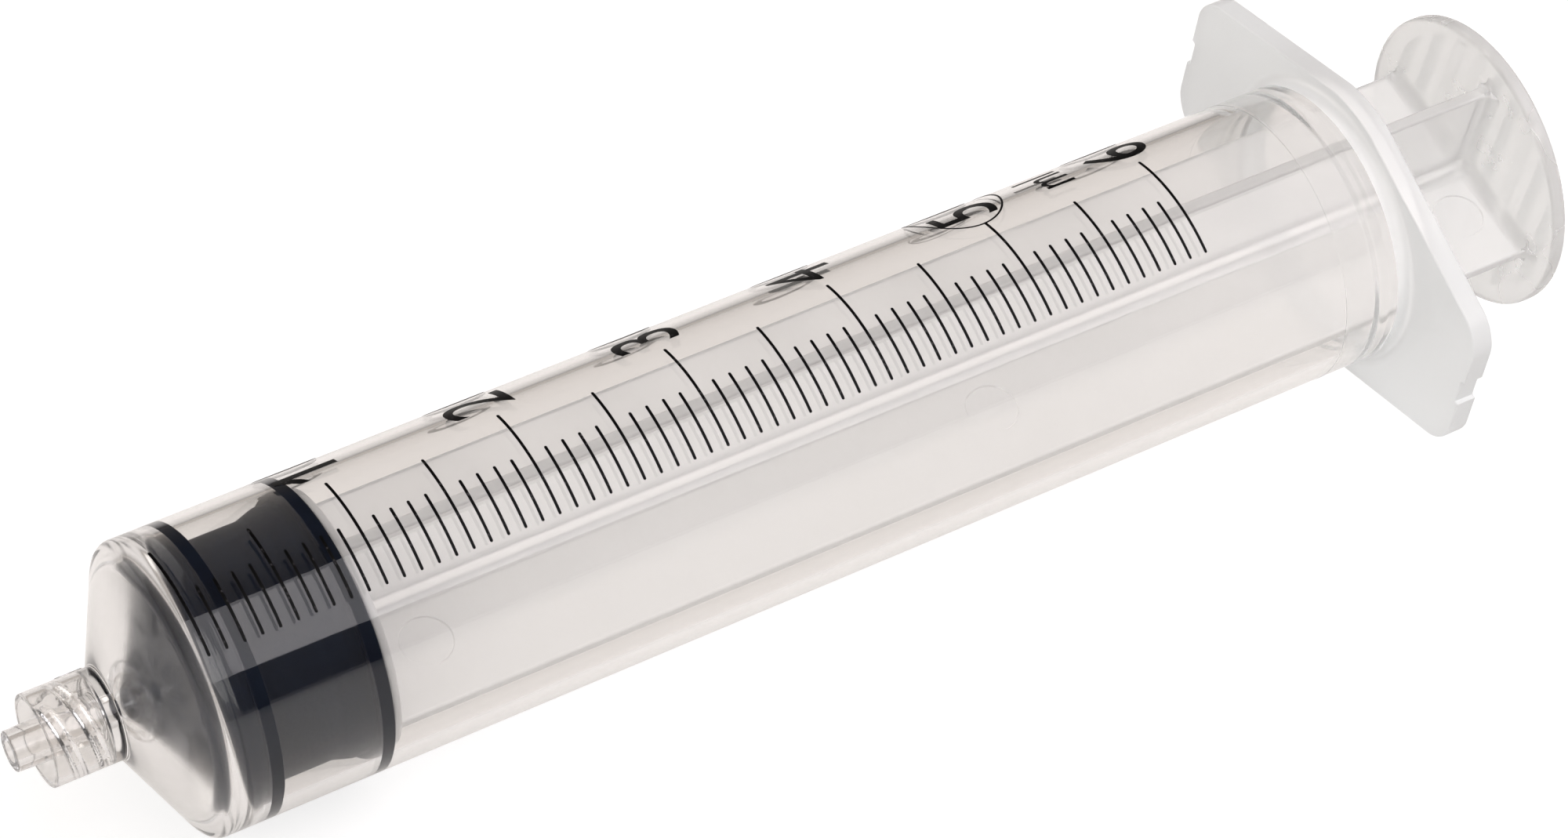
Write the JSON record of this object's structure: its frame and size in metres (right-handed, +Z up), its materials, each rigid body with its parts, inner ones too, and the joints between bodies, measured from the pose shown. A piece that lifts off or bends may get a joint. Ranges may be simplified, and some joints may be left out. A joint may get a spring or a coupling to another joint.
{
  "type": "luer lock syringe",
  "caption": "Luer lock syringe with a clear barrel, finger flange, dark rubber stopper and cross-bladed plunger, lying with the plunger pushed in.",
  "frame": {"origin": "centre of the open end of the luer tip, on the syringe's axis", "axes": "+X runs along the axis from the luer tip to the thumb disc, +Z is up with the syringe lying on one slanted side of its flange"},
  "size_m": [0.1642, 0.051, 0.0328],
  "materials": {
    "clear_barrel": "gloss",
    "dark_rubber": "satin",
    "plunger_plastic": "satin",
    "black_ink": "satin"
  },
  "bodies": {
    "barrel_body": {"barrel": "clear_barrel"},
    "stopper_body": {"stopper": "dark_rubber"},
    "plunger_body": {"plunger_rod": "plunger_plastic"}
  },
  "joints": [
    {"name": "plunger_slide", "type": "slide", "parent": "barrel_body", "child": "stopper_body", "axis": [1, 0, 0], "range_m": [0, 0.109]},
    {"name": "plunger_turn", "type": "hinge", "parent": "stopper_body", "child": "plunger_body", "pos_m": [0.03, 0, 0], "axis": [1, 0, 0], "continuous": true}
  ]
}
